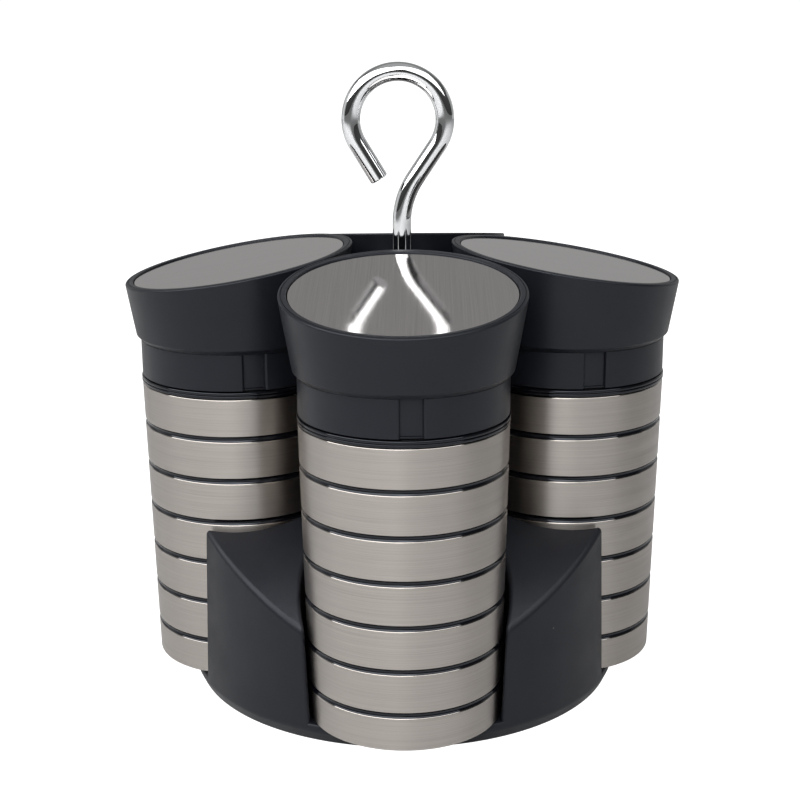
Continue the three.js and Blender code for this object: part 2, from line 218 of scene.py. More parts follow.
def make_world():
    """A dim room that grows a little brighter overhead."""
    world = bpy.data.worlds.new("studio")
    bpy.context.scene.world = world
    world.use_nodes = True
    nodes, links = world.node_tree.nodes, world.node_tree.links
    background = nodes["Background"]
    coordinates = nodes.new("ShaderNodeTexCoord")
    split = nodes.new("ShaderNodeSeparateXYZ")
    ramp = nodes.new("ShaderNodeValToRGB")
    while len(ramp.color_ramp.elements) < len(ROOM_GLOW):
        ramp.color_ramp.elements.new(1)
    for element, (place, glow) in zip(ramp.color_ramp.elements, ROOM_GLOW):
        element.position = place
        element.color = (glow, glow, glow, 1)
    links.new(coordinates.outputs["Generated"], split.inputs[0])
    links.new(split.outputs["Z"], ramp.inputs[0])
    links.new(ramp.outputs["Color"], background.inputs["Color"])


def studio_object(name, mesh):
    """Puts a mesh in the scene with a material of its own, and returns both."""
    thing = bpy.data.objects.new(name, mesh)
    bpy.context.scene.collection.objects.link(thing)
    paint = bpy.data.materials.new(f"{name}_paint")
    paint.use_nodes = True
    mesh.materials.append(paint)
    return thing, paint


def show_to_camera_only(thing):
    for sight in ("diffuse", "glossy", "transmission", "volume_scatter", "shadow"):
        setattr(thing, f"visible_{sight}", False)


def flat_sheet(name, height):
    """A sheet far wider than the view, at a height."""
    corners = [(-FLOOR_REACH, -FLOOR_REACH), (FLOOR_REACH, -FLOOR_REACH),
               (FLOOR_REACH, FLOOR_REACH), (-FLOOR_REACH, FLOOR_REACH)]
    mesh = bpy.data.meshes.new(name)
    mesh.from_pydata([(x, y, height) for x, y in corners], [], [(0, 1, 2, 3)])
    sheet, paint = studio_object(name, mesh)
    return sheet, paint


def make_floor():
    """A plain pale floor."""
    _, paint = flat_sheet("floor", 0)
    shader = paint.node_tree.nodes["Principled BSDF"]
    shader.inputs["Base Color"].default_value = (0.6, 0.6, 0.6, 1)
    shader.inputs["Roughness"].default_value = 0.9
    shader.inputs["Emission Color"].default_value = (1, 1, 1, 1)
    shader.inputs["Emission Strength"].default_value = 0.06


def make_veil():
    """A glow just over the floor, which only the camera sees. It bleaches the floor to the photo's white."""
    veil, paint = flat_sheet("veil", 0.02 * MM)
    show_to_camera_only(veil)
    nodes, links = paint.node_tree.nodes, paint.node_tree.links
    nodes.clear()
    mix = nodes.new("ShaderNodeMixShader")
    clear = nodes.new("ShaderNodeBsdfTransparent")
    glow = nodes.new("ShaderNodeEmission")
    out = nodes.new("ShaderNodeOutputMaterial")
    mix.inputs[0].default_value = 0.6
    glow.inputs["Strength"].default_value = 1.9
    links.new(clear.outputs[0], mix.inputs[1])
    links.new(glow.outputs[0], mix.inputs[2])
    links.new(mix.outputs[0], out.inputs["Surface"])


def make_backdrop():
    """A white dome that only the camera sees, so that the view above the floor is plain too."""
    shape = bmesh.new()
    bmesh.ops.create_icosphere(shape, subdivisions=4, radius=DOME_RADIUS)
    mesh = bpy.data.meshes.new("backdrop")
    shape.to_mesh(mesh)
    shape.free()
    dome, paint = studio_object("backdrop", mesh)
    show_to_camera_only(dome)
    shader = paint.node_tree.nodes["Principled BSDF"]
    shader.inputs["Base Color"].default_value = (0, 0, 0, 1)
    shader.inputs["Specular IOR Level"].default_value = 0
    shader.inputs["Emission Color"].default_value = (1, 1, 1, 1)
    shader.inputs["Emission Strength"].default_value = 1.05


def make_studio():
    bpy.context.scene.view_settings.view_transform = "Standard"
    make_world()
    make_floor()
    make_veil()
    make_backdrop()
    for lamp in SOFTBOXES:
        softbox(*lamp)


# ------------------------------------------------------------------ materials
class Paint:
    """A material with a Principled shader, and short ways to add nodes to it."""

    def __init__(self, name, colour, roughness, metallic=0.0):
        self.material = bpy.data.materials.new(name)
        self.material.use_nodes = True
        self.nodes = self.material.node_tree.nodes
        self.links = self.material.node_tree.links
        self.shader = self.nodes["Principled BSDF"]
        self.set("Base Color", (*colour, 1))
        self.set("Roughness", roughness)
        self.set("Metallic", metallic)
        self.coordinates = self.nodes.new("ShaderNodeTexCoord")

    def set(self, socket, value):
        self.shader.inputs[socket].default_value = value

    def feed(self, output, socket):
        self.links.new(output, self.shader.inputs[socket])

    def stretched(self, scale):
        """The piece's own coordinates in metres, scaled along each axis."""
        mapping = self.nodes.new("ShaderNodeMapping")
        mapping.inputs["Scale"].default_value = scale
        self.links.new(self.coordinates.outputs["Object"], mapping.inputs["Vector"])
        return mapping.outputs["Vector"]

    def noise(self, scale, detail=3.0, roughness=0.55):
        texture = self.nodes.new("ShaderNodeTexNoise")
        texture.inputs["Scale"].default_value = 1
        texture.inputs["Detail"].default_value = detail
        texture.inputs["Roughness"].default_value = roughness
        self.links.new(self.stretched(scale), texture.inputs["Vector"])
        return texture.outputs["Fac"]

    def spread(self, value, low, high, from_low=0.3, from_high=0.7):
        """Maps a noise value to a range."""
        change = self.nodes.new("ShaderNodeMapRange")
        change.inputs["From Min"].default_value = from_low
        change.inputs["From Max"].default_value = from_high
        change.inputs["To Min"].default_value = low
        change.inputs["To Max"].default_value = high
        self.links.new(value, change.inputs["Value"])
        return change.outputs["Result"]

    def polished_edges(self, roughness, edge):
        """Roughness that falls to the edge value where the surface turns up or down, as on rolled edges."""
        split = self.nodes.new("ShaderNodeSeparateXYZ")
        self.links.new(self.coordinates.outputs["Normal"], split.inputs[0])
        steep = self.nodes.new("ShaderNodeMath")
        steep.operation = "ABSOLUTE"
        self.links.new(split.outputs["Z"], steep.inputs[0])
        mix = self.nodes.new("ShaderNodeMix")
        self.links.new(self.spread(steep.outputs["Value"], 0, 1, 0.1, 0.4), mix.inputs[0])
        self.links.new(roughness, mix.inputs[2])
        mix.inputs[3].default_value = edge
        return mix.outputs[0]

    def blend_colours(self, amount, first, second):
        mix = self.nodes.new("ShaderNodeMix")
        mix.data_type = "RGBA"
        for socket, colour in ((mix.inputs[6], first), (mix.inputs[7], second)):
            if isinstance(colour, tuple):
                socket.default_value = (*colour, 1)
            else:
                self.links.new(colour, socket)
        self.links.new(amount, mix.inputs[0])
        return mix.outputs[2]

    def bump(self, height, distance):
        node = self.nodes.new("ShaderNodeBump")
        node.inputs["Distance"].default_value = distance
        node.inputs["Strength"].default_value = 1
        self.links.new(height, node.inputs["Height"])
        self.feed(node.outputs["Normal"], "Normal")

    def specks(self, cell, radius, share):
        """A mask of tiny round specks: one in a share of cells of that size."""
        texture = self.nodes.new("ShaderNodeTexVoronoi")
        texture.inputs["Scale"].default_value = 1
        self.links.new(self.stretched((1 / cell,) * 3), texture.inputs["Vector"])
        near = self.spread(texture.outputs["Distance"], 1, 0, 0.6 * radius / cell, radius / cell)
        split = self.nodes.new("ShaderNodeSeparateColor")
        self.links.new(texture.outputs["Color"], split.inputs["Color"])
        chosen = self.spread(split.outputs["Red"], 0, 1, 1 - share, 1 - share + 0.01)
        both = self.nodes.new("ShaderNodeMath")
        both.operation = "MULTIPLY"
        self.links.new(near, both.inputs[0])
        self.links.new(chosen, both.inputs[1])
        return both.outputs["Value"]


def moulded_plastic(name, colour, roughness, grain, grain_depth, dust):
    """Charcoal moulding: a fine eroded grain, slow changes of gloss, and a few specks of dust."""
    paint = Paint(name, colour, roughness)
    slow = paint.noise((38, 38, 38), 2)
    pale = tuple(1.25 * part for part in colour)
    base = paint.blend_colours(paint.spread(slow, 0, 1), colour, pale)
    specks = paint.specks(3.2 * MM, 0.13 * MM, dust)
    paint.feed(paint.blend_colours(specks, base, (0.30, 0.31, 0.32)), "Base Color")
    paint.feed(paint.spread(paint.noise((90, 90, 90), 4), roughness - 0.05, roughness + 0.06), "Roughness")
    paint.set("Specular IOR Level", 0.3)
    paint.set("Specular Tint", (0.88, 0.92, 1.0, 1))
    paint.bump(paint.noise((grain,) * 3, 2), grain_depth)
    return paint.material


def gloss_black():
    """Glossy black of the containers and of the enamel in the grooves, with a few specks of dust."""
    colour = (0.0025, 0.0027, 0.0040)
    paint = Paint("gloss_black", colour, 0.08)
    paint.set("Specular IOR Level", 0.42)
    paint.set("Specular Tint", (0.84, 0.9, 1.0, 1))
    paint.feed(paint.spread(paint.noise((220, 220, 220), 3), 0.05, 0.1), "Roughness")
    specks = paint.specks(2.6 * MM, 0.1 * MM, 0.05)
    paint.feed(paint.blend_colours(specks, colour, (0.35, 0.36, 0.37)), "Base Color")
    paint.bump(paint.noise((900, 900, 500), 2), 0.006 * MM)
    return paint.material


def brushed_steel(name, colour, roughness, along, across, anisotropy, radial):
    """Stainless steel with fine streaks. along and across are noise scales per metre on each axis. A radial
    brushing runs round the piece's own axis, and any other follows the piece's brush map."""
    paint = Paint(name, colour, roughness, 1.0)
    streak = paint.noise(across, 4, 0.7)
    broad = paint.noise(along, 3, 0.6)
    dark = tuple(0.84 * part for part in colour)
    tone = paint.blend_colours(paint.spread(streak, 0, 1, 0.35, 0.65), dark, colour)
    smudge = tuple(0.93 * part for part in colour)
    patches = paint.noise((45, 45, 45), 2)
    paint.feed(paint.blend_colours(paint.spread(patches, 0, 0.5, 0.45, 0.75), tone, smudge), "Base Color")
    satin = paint.spread(broad, 0.9 * roughness, 1.1 * roughness)
    paint.feed(paint.polished_edges(satin, 0.1) if radial else satin, "Roughness")
    paint.set("Anisotropic", anisotropy)
    paint.set("Anisotropic Rotation", 0.25)
    tangent = paint.nodes.new("ShaderNodeTangent")
    if radial:
        tangent.direction_type = "RADIAL"
        tangent.axis = "Z"
    else:
        tangent.direction_type = "UV_MAP"
        tangent.uv_map = "brush"
    paint.feed(tangent.outputs["Tangent"], "Tangent")
    paint.bump(streak, 0.004 * MM)
    return paint.material


def chrome():
    """Bright plating, a little uneven, with a few tiny pits."""
    colour = (0.82, 0.83, 0.84)
    paint = Paint("chrome", colour, 0.05, 1.0)
    paint.feed(paint.spread(paint.noise((300, 300, 300), 4), 0.03, 0.06), "Roughness")
    pits = paint.specks(1.5 * MM, 0.07 * MM, 0.12)
    paint.feed(paint.blend_colours(pits, colour, (0.25, 0.25, 0.26)), "Base Color")
    paint.bump(paint.noise((160, 160, 160), 2), 0.01 * MM)
    return paint.material


def plain_part(name, colour, roughness, metallic, grain):
    """Zinc, nylon or rubber of the hidden pieces: a mottled tone, uneven gloss and a fine grain."""
    paint = Paint(name, colour, roughness, metallic)
    pale = tuple(min(1.0, 1.2 * part) for part in colour)
    paint.feed(paint.blend_colours(paint.noise((60, 60, 60), 3), colour, pale), "Base Color")
    paint.feed(paint.spread(paint.noise((400, 400, 400), 3), roughness - 0.06, roughness + 0.06), "Roughness")
    paint.bump(paint.noise((grain,) * 3, 2), 0.01 * MM)
    return paint.material


TRAY_PLASTIC = moulded_plastic("tray_plastic", (0.0072, 0.0078, 0.0104), 0.42, 2600, 0.03 * MM, 0.03)
LID_PLASTIC = moulded_plastic("lid_plastic", (0.0076, 0.0084, 0.0112), 0.36, 3400, 0.012 * MM, 0.06)
GLOSS_BLACK = gloss_black()
SLEEVE_STEEL = brushed_steel(
    "sleeve_steel", (0.46, 0.427, 0.398), 0.4, (30, 30, 900), (24, 24, 5200), 0.85, True)
DISC_STEEL = brushed_steel(
    "disc_steel", (0.66, 0.63, 0.617), 0.07, (30, 1100, 30), (24, 5200, 24), 0.6, False)
CHROME = chrome()
ZINC = plain_part("zinc", (0.42, 0.43, 0.44), 0.34, 1.0, 1800)
NYLON = plain_part("nylon", (0.66, 0.65, 0.60), 0.45, 0.0, 1200)
RUBBER = plain_part("rubber", (0.014, 0.014, 0.014), 0.75, 0.0, 2400)


# ------------------------------------------------------------------ mesh helpers
def rounded(corners, steps=4, closed=True):
    """An outline of (x, y, fillet) corners with each fillet drawn as an arc."""
    points = []
    count = len(corners)
    for i, (x, y, fillet) in enumerate(corners):
        here = Vector((x, y))
        if not fillet or (not closed and i in (0, count - 1)):
            points.append((x, y))
            continue
        back = Vector(corners[i - 1][:2]) - here
        ahead = Vector(corners[(i + 1) % count][:2]) - here
        half = back.angle(ahead) / 2
        reach = min(fillet / math.tan(half), 0.48 * back.length, 0.48 * ahead.length)
        radius = reach * math.tan(half)
        back.normalize()
        ahead.normalize()
        centre = here + (back + ahead).normalized() * radius / math.sin(half)
        start = here + back * reach - centre
        sweep = start.angle_signed(here + ahead * reach - centre)
        for k in range(steps + 1):
            turn = -sweep * k / steps
            cosine, sine = math.cos(turn), math.sin(turn)
            spoke = (start.x * cosine - start.y * sine, start.x * sine + start.y * cosine)
            points.append((centre.x + spoke[0], centre.y + spoke[1]))
    return points


def add_rings(mesh, rings, closed_profile):
    """Joins rings of points, one ring for each profile point. A ring of one point is a pole."""
    made = [[mesh.verts.new(point) for point in ring] for ring in rings]
    pairs = list(zip(made, made[1:]))
    if closed_profile:
        pairs.append((made[-1], made[0]))
    for first, second in pairs:
        count = max(len(first), len(second))
        for i in range(count):
            j = (i + 1) % count
            corners = []
            for ring, order in ((first, (i, j)), (second, (j, i))):
                corners += [ring[0]] if len(ring) == 1 else [ring[order[0]], ring[order[1]]]
            mesh.faces.new(corners)
    return made


def level_ring(radius, height, sides=ROUND):
    """A level circle of points about the upright axis."""
    angles = [2 * math.pi * i / sides for i in range(sides)]
    return [(radius * math.cos(angle), radius * math.sin(angle), height) for angle in angles]


def turned(mesh, profile, closed=False, sides=ROUND):
    """Turns (radius, height) points about the upright axis. A point on the axis becomes a pole."""
    rings = []
    for radius, height in profile:
        on_axis = radius < 1e-7
        rings.append([(0, 0, height)] if on_axis else level_ring(radius, height, sides))
    add_rings(mesh, rings, closed)


def solid_of(mesh, name, smooth_angle=40):
    """Turns a working mesh into a finished one, smooth but for edges sharper than the angle in degrees."""
    bmesh.ops.remove_doubles(mesh, verts=mesh.verts, dist=1e-7)
    bmesh.ops.recalc_face_normals(mesh, faces=mesh.faces)
    data = bpy.data.meshes.new(name)
    mesh.to_mesh(data)
    mesh.free()
    for face in data.polygons:
        face.use_smooth = True
    data.set_sharp_from_angle(angle=math.radians(smooth_angle))
    return data


def turned_mesh(name, corners, closed=False, steps=4, sides=ROUND):
    """A turned piece from (radius, height, fillet) corners. steps is the number of faces in each fillet."""
    mesh = bmesh.new()
    turned(mesh, rounded(corners, steps, closed), closed, sides)
    return solid_of(mesh, name)


def place_piece(name, data, material, body, node=None, where=None):
    """Puts a mesh in the scene as a piece that rides on a body and, if a node is given, stands for it."""
    piece = bpy.data.objects.new(name, data)
    bpy.context.scene.collection.objects.link(piece)
    if not data.materials:
        data.materials.append(material)
    if where is not None:
        piece.matrix_world = where
    weighted = piece.modifiers.new("weighted", "WEIGHTED_NORMAL")
    weighted.keep_sharp = True
    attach(piece, body)
    if node:
        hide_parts(node)
    return piece


# ------------------------------------------------------------------ turntable foot
def flat_ring(name, node, inner, fillet, sides=ROUND):
    """A washer of the node's own height and outer radius."""
    low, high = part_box(node)
    outer = (high.x - low.x) / 2
    return turned_mesh(name, [
        (inner, low.z, fillet),
        (outer, low.z, fillet),
        (outer, high.z, fillet),
        (inner, high.z, fillet),
    ], True, 3, sides)


def make_foot():
    plate_low, plate_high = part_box("foot_plate")
    plate_radius = (plate_high.x - plate_low.x) / 2
    plate_top = plate_low.z + PLATE_THICKNESS
    soft = 0.5 * MM
    crisp = 0.2 * MM
    plate = turned_mesh("foot_plate_shape", [
        (POCKET_RADIUS, plate_low.z, soft),
        (plate_radius, plate_low.z, soft),
        (plate_radius, plate_top, soft),
        (BOSS_RADIUS, plate_top, soft),
        (BOSS_RADIUS, plate_high.z, soft),
        (BOSS_BORE, plate_high.z, crisp),
        (BOSS_BORE, POCKET_TOP, crisp),
        (POCKET_RADIUS, POCKET_TOP, crisp),
    ], True, 3)
    place_piece("foot_plate_moulding", plate, TRAY_PLASTIC, "foot", "foot_plate")
    for i in range(1, 5):
        node = f"foot_pad_{i}"
        low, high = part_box(node)
        radius = (high.x - low.x) / 2
        pad = turned_mesh(f"{node}_shape", [
            (0, low.z, 0),
            (radius, low.z, 0.3 * MM),
            (radius, high.z, 0.1 * MM),
            (0, high.z, 0),
        ], False, 3, 48)
        centre = middle(node)
        place = Matrix.Translation((centre.x, centre.y, 0))
        place_piece(f"{node}_rubber", pad, RUBBER, "foot", node, place)
    race = flat_ring("bearing_race_shape", "bearing_race", RACE_BORE, 0.4 * MM)
    place_piece("bearing_race_ring", race, NYLON, "foot", "bearing_race")


# ------------------------------------------------------------------ tray
def tray_radius(height):
    """Radius of the tray's outer wall above its skirt."""
    share = (height - TRAY_LOW - TRAY_SKIRT_RISE) / (TRAY_HIGH - TRAY_LOW - TRAY_SKIRT_RISE)
    return TRAY_SKIRT_RADIUS + (TRAY_TOP_RADIUS - TRAY_SKIRT_RADIUS) * share


def arch_height(y):
    """Height of the arched top, which curves down to the front and the rear."""
    return TRAY_HIGH - ARCH_RADIUS + math.sqrt(ARCH_RADIUS ** 2 - y * y)


def arc_points(centre, radius, start, end, count):
    """Points along an arc from one angle up to, but not at, another."""
    step = (end - start) / count
    angles = [start + step * i for i in range(count)]
    return [(centre[0] + radius * math.cos(a), centre[1] + radius * math.sin(a)) for a in angles]


def fin_outline(outer, socket, fillet):
    """Plan outline of the four fins and the hub between the sockets, with filleted corners."""
    near, far = socket + fillet, outer - fillet
    along = (far ** 2 + JAR_RING ** 2 - near ** 2) / (2 * JAR_RING)
    side = math.sqrt(far ** 2 - along ** 2)
    corner_angle = math.atan2(side, along)
    socket_angle = math.atan2(side, along - JAR_RING)
    points = []
    for quarter in range(4):
        turn = quarter * math.pi / 2
        centre = (JAR_RING * math.cos(turn), JAR_RING * math.sin(turn))
        below, above = turn - corner_angle, turn + corner_angle
        corner = (far * math.cos(below), far * math.sin(below))
        points += arc_points(corner, fillet, below, turn - socket_angle + math.pi, 6)
        points += arc_points(centre, socket, turn - socket_angle, turn + socket_angle - 2 * math.pi, 84)
        corner = (far * math.cos(above), far * math.sin(above))
        points += arc_points(corner, fillet, turn + socket_angle - math.pi, above, 6)
        points += arc_points((0, 0), outer, above, turn + math.pi / 2 - corner_angle, 30)
    return points


def fins(name, foot, inset, soft, fillet):
    """The fins as one solid under the arched top, with its upper edge rounded. inset draws every wall in.

    Each level is a share of the height under the arch, how far it is drawn in, and how far it is lowered. The
    walls lean, so a point's place and its height are found together, in a few rounds.
    """
    levels = [(share, 0.0, soft) for share in (0, 0.2, 0.4, 0.6, 0.8)]
    if soft:
        quarter = [math.pi / 2 * k / 7 for k in range(8)]
        levels += [(1, soft * (1 - math.cos(a)), soft * (1 - math.sin(a))) for a in quarter]
    else:
        levels.append((1, 0.0, 0.0))
    guide = fin_outline(tray_radius(TRAY_HIGH) - inset, SOCKET_RADIUS + inset, fillet)
    rounds = 3
    rings = []
    for share, drawn_in, drop in levels:
        ring = []
        for index, (x, y) in enumerate(guide):
            for _ in range(rounds):
                height = foot + (arch_height(y) - inset - drop - foot) * share
                x, y = outline_at(height, inset + drawn_in, max(fillet - drawn_in, 0.2 * MM))[index]
            ring.append((x, y, foot + (arch_height(y) - inset - drop - foot) * share))
        rings.append(ring)
    mesh = bmesh.new()
    made = add_rings(mesh, rings, False)
    mesh.faces.new(list(reversed(made[0])))
    close_under_arch(mesh, made[-1], inset)
    return solid_of(mesh, name, 30)


def close_under_arch(mesh, edge, inset):
    """Closes the top within a ring of vertices: a level face cut into strips, which are bent to the arch."""
    for vertex in edge:
        vertex.co.z = TRAY_HIGH
    top = mesh.faces.new(edge)
    top.normal_update()
    faces = bmesh.ops.triangulate(mesh, faces=[top], ngon_method="EAR_CLIP")["faces"]
    strip = 1.5 * MM
    cuts = int(TRAY_TOP_RADIUS / strip)
    for k in range(-cuts, cuts + 1):
        around = faces + list({e for f in faces for e in f.edges}) + list({v for f in faces for v in f.verts})
        place = (0, k * strip, 0)
        cut = bmesh.ops.bisect_plane(mesh, geom=around, plane_co=place, plane_no=(0, 1, 0), dist=1e-6)
        faces = [part for part in cut["geom"] if isinstance(part, bmesh.types.BMFace)]
    for vertex in {v for f in faces for v in f.verts}:
        vertex.co.z = arch_height(vertex.co.y) - inset


OUTLINES = {}


def outline_at(height, inset, fillet):
    """The fins' plan outline at a height, kept for reuse."""
    key = (round(height, 5), round(inset, 7), round(fillet, 7))
    if key not in OUTLINES:
        socket = SOCKET_RADIUS + SOCKET_SLOPE * (height - SOCKET_FLOOR) + inset
        OUTLINES[key] = fin_outline(tray_radius(height) - inset, socket, fillet)
    return OUTLINES[key]


def combined(first, operation, second, name):
    """The first mesh joined with, or cut by, the second."""
    holders = []
    for data in (first, second):
        holder = bpy.data.objects.new(data.name, data)
        bpy.context.scene.collection.objects.link(holder)
        holders.append(holder)
    cut = holders[0].modifiers.new("combine", "BOOLEAN")
    cut.operation = operation
    cut.solver = "MANIFOLD"
    cut.object = holders[1]
    bpy.context.view_layer.update()
    worked_out = holders[0].evaluated_get(bpy.context.evaluated_depsgraph_get())
    made = bpy.data.meshes.new_from_object(worked_out)
    made.name = name
    for holder in holders:
        bpy.data.objects.remove(holder)
    return made


def make_tray():
    """Moulded tray: a round floor, four hollow fins between the sockets, and a hub column.

    A cutting shape reaches past what it cuts.
    """
    past = 1 * MM
    fin_foot = SOCKET_FLOOR - 1.2 * MM
    under = SOCKET_FLOOR - TRAY_FLOOR
    base = turned_mesh("base_shape", [
        (0, TRAY_LOW, 0),
        (TRAY_FOOT_RADIUS, TRAY_LOW, 0.8 * MM),
        (TRAY_SKIRT_RADIUS, TRAY_LOW + TRAY_SKIRT_RISE, 2.5 * MM),
        (tray_radius(SOCKET_FLOOR) - 0.03 * MM, SOCKET_FLOOR, 0.6 * MM),
        (0, SOCKET_FLOOR, 0),
    ], False, 5, 2 * ROUND)
    tray = combined(base, "UNION", fins("fin_shape", fin_foot, 0, 1.2 * MM, 0.8 * MM), "tray_outside")
    inside = fins("fin_hollow", under - past, TRAY_WALL, 0, 0.3 * MM)
    column = turned_mesh("hub_column", [
        (0, HUB_BOTTOM, 0),
        (HUB_RADIUS, HUB_BOTTOM, 0.3 * MM),
        (HUB_RADIUS, TRAY_HIGH, 0),
        (0, TRAY_HIGH, 0),
    ], False, 3, 64)
    inside = combined(inside, "DIFFERENCE", column, "fin_hollow_round_hub")
    tray = combined(tray, "DIFFERENCE", inside, "tray_with_hollow_fins")
    below = turned_mesh("base_hollow", [
        (0, TRAY_LOW - past, 0),
        (TRAY_FOOT_RADIUS - TRAY_WALL, TRAY_LOW - past, 0),
        (TRAY_SKIRT_RADIUS - TRAY_WALL, under, 0.5 * MM),
        (0, under, 0),
    ], False, 4, ROUND)
    tray = combined(tray, "DIFFERENCE", below, "tray_with_hollow_base")
    bore = turned_mesh("hub_bore", [
        (0, TRAY_LOW, 0),
        (HUB_BORE, TRAY_LOW, 0),
        (HUB_BORE, TRAY_HIGH + past, 0),
        (0, TRAY_HIGH + past, 0),
    ], False, 1, 48)
    tray = combined(tray, "DIFFERENCE", bore, "tray_shape")
    tray.set_sharp_from_angle(angle=math.radians(32))
    tray.materials.clear()
    place_piece("tray_moulding", tray, TRAY_PLASTIC, "carousel", "base_tray")


# ------------------------------------------------------------------ pole
def pole_path():
    """Points and tangents along the pole's centre line: straight, a bend, a neck, the loop and the tip."""
    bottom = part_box("pole_hook")[0].z
    straight_steps, bend_steps, loop_steps = 24, 12, 72
    rise = POLE_STRAIGHT_TOP - bottom
    points = [(Vector((0, 0, bottom + rise * i / straight_steps)), UP) for i in range(straight_steps)]
    centre = Vector((POLE_BEND_RADIUS, 0, POLE_STRAIGHT_TOP))
    for i in range(bend_steps + 1):
        angle = POLE_BEND_ANGLE * i / bend_steps
        spoke = Vector((-math.cos(angle), 0, math.sin(angle)))
        way = Vector((math.sin(angle), 0, math.cos(angle)))
        points.append((centre + spoke * POLE_BEND_RADIUS, way))
    bend_end = points[-1][0]
    neck_end = bend_end + way * POLE_NECK
    points.append(((bend_end + neck_end) / 2, way))
    loop_centre = neck_end + spoke * LOOP_RADIUS
    for i in range(loop_steps + 1):
        angle = -POLE_BEND_ANGLE + LOOP_TURN * i / loop_steps
        spoke = Vector((math.cos(angle), 0, math.sin(angle)))
        points.append((loop_centre + spoke * LOOP_RADIUS, Vector((-math.sin(angle), 0, math.cos(angle)))))
    end, way = points[-1]
    points += [(end + way * TIP_LENGTH * share, way) for share in (0.5, 1.0)]
    return points


def make_pole():
    """The rod, swept along its path with softened ends, and the pieces that hold it."""
    mesh = bmesh.new()
    sides = 40
    soft = 0.3 * MM
    path = pole_path()
    first, way = path[0]
    last, last_way = path[-1]
    stations = [(first, way, POLE_RADIUS - soft), (first + way * soft, way, POLE_RADIUS)]
    stations += [(point, tangent, POLE_RADIUS) for point, tangent in path[1:-1]]
    stations += [(last - last_way * soft, last_way, POLE_RADIUS), (last, last_way, POLE_RADIUS - soft)]
    rings = [[first]]
    for point, tangent, radius in stations:
        side = Vector((0, 1, 0))
        across = side.cross(tangent)
        angles = [2 * math.pi * i / sides for i in range(sides)]
        rings.append([point + radius * (across * math.cos(a) + side * math.sin(a)) for a in angles])
    rings.append([last])
    add_rings(mesh, rings, False)
    place_piece("hook_rod", solid_of(mesh, "hook_rod_shape"), CHROME, "carousel", "pole_hook")

    low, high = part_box("pole_ferrule")
    outer = (high.x - low.x) / 2
    ferrule = turned_mesh("ferrule_shape", [
        (HUB_BORE, low.z, 0.2 * MM),
        (outer, low.z, 0.3 * MM),
        (outer, high.z - 1.2 * MM, 0.6 * MM),
        (outer - 1.4 * MM, high.z, 0.4 * MM),
        (HUB_BORE, high.z, 0.2 * MM),
    ], True, 4, 64)
    place_piece("hook_ferrule", ferrule, TRAY_PLASTIC, "carousel", "pole_ferrule")
    thrust = flat_ring("thrust_washer_shape", "thrust_washer", BOSS_BORE, 0.2 * MM, 64)
    place_piece("thrust_ring", thrust, NYLON, "carousel", "thrust_washer")
    washer = flat_ring("pivot_washer_shape", "pivot_washer", BOSS_BORE, 0.15 * MM, 64)
    place_piece("pivot_ring", washer, ZINC, "carousel", "pivot_washer")
    make_nut()


def make_nut():
    """Hexagon nut whose corners are chamfered down to a circle at both faces."""
    low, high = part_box("pivot_nut")
    flat = min(high.x - low.x, high.y - low.y) / 2
    beyond = 2 * flat
    chamfer = 0.4 * MM
    sides = 72
    mesh = bmesh.new()
    rings = []
    levels = ((low.z, flat), (low.z + chamfer, beyond), (high.z - chamfer, beyond), (high.z, flat))
    for height, limit in levels:
        ring = []
        for i in range(sides):
            angle = 2 * math.pi * i / sides
            off = (angle + math.pi / 6) % (math.pi / 3) - math.pi / 6
            radius = min(flat / math.cos(off), limit)
            ring.append((radius * math.cos(angle), radius * math.sin(angle), height))
        rings.append(ring)
    rings += [level_ring(HUB_BORE, height, sides) for height in (high.z, low.z)]
    add_rings(mesh, rings, True)
    nut = solid_of(mesh, "pivot_nut_shape", 25)
    place_piece("pivot_hex_nut", nut, ZINC, "carousel", "pivot_nut")


# ------------------------------------------------------------------ jars, each in its own frame
def sleeve_radius(height):
    """Radius of the sleeve's outside, which widens a little towards its top."""
    return SLEEVE_FOOT_RADIUS + SLEEVE_SLOPE * height


def sleeve_mesh():
    """Steel jacket with grooves. Each groove's lower edge is softly rolled and its upper edge is crisper."""
    top = SLEEVE_HIGH - SLEEVE_LOW
    edge = 0.2 * MM
    rolled = 0.42 * MM
    slant = 0.15 * MM
    half = GROOVE_WIDTH / 2
    corners = [(sleeve_radius(0) - SLEEVE_WALL, 0, 0.2 * MM), (sleeve_radius(0), 0, 0.45 * MM)]
    for i in reversed(range(GROOVE_COUNT)):
        centre = GROOVE_FIRST - GROOVE_PITCH * i
        radius = sleeve_radius(centre)
        corners += [
            (radius, centre - half, rolled),
            (radius - GROOVE_DEPTH, centre - half + slant, 0.1 * MM),
            (radius - GROOVE_DEPTH, centre + half - slant, 0.1 * MM),
            (radius, centre + half, edge),
        ]
    corners += [(sleeve_radius(top), top, rolled), (sleeve_radius(top) - SLEEVE_WALL, top, 0.15 * MM)]
    return turned_mesh("sleeve_shape", corners, True)


def enamel_mesh():
    """Black enamel that lines each groove with a hollow face."""
    mesh = bmesh.new()
    half = GROOVE_WIDTH / 2 - 0.1 * MM
    steps = 8
    hollow = 0.32 * MM
    for i in range(GROOVE_COUNT):
        centre = GROOVE_FIRST - GROOVE_PITCH * i
        radius = sleeve_radius(centre)
        back = radius - GROOVE_DEPTH + 0.04 * MM
        front = radius - 0.1 * MM
        profile = [(back, centre - half)]
        for k in range(steps + 1):
            share = -1 + 2 * k / steps
            profile.append((front - hollow * (1 - share * share), centre + half * share))
        profile.append((back, centre + half))
        turned(mesh, profile, True)
    return solid_of(mesh, "enamel_shape")


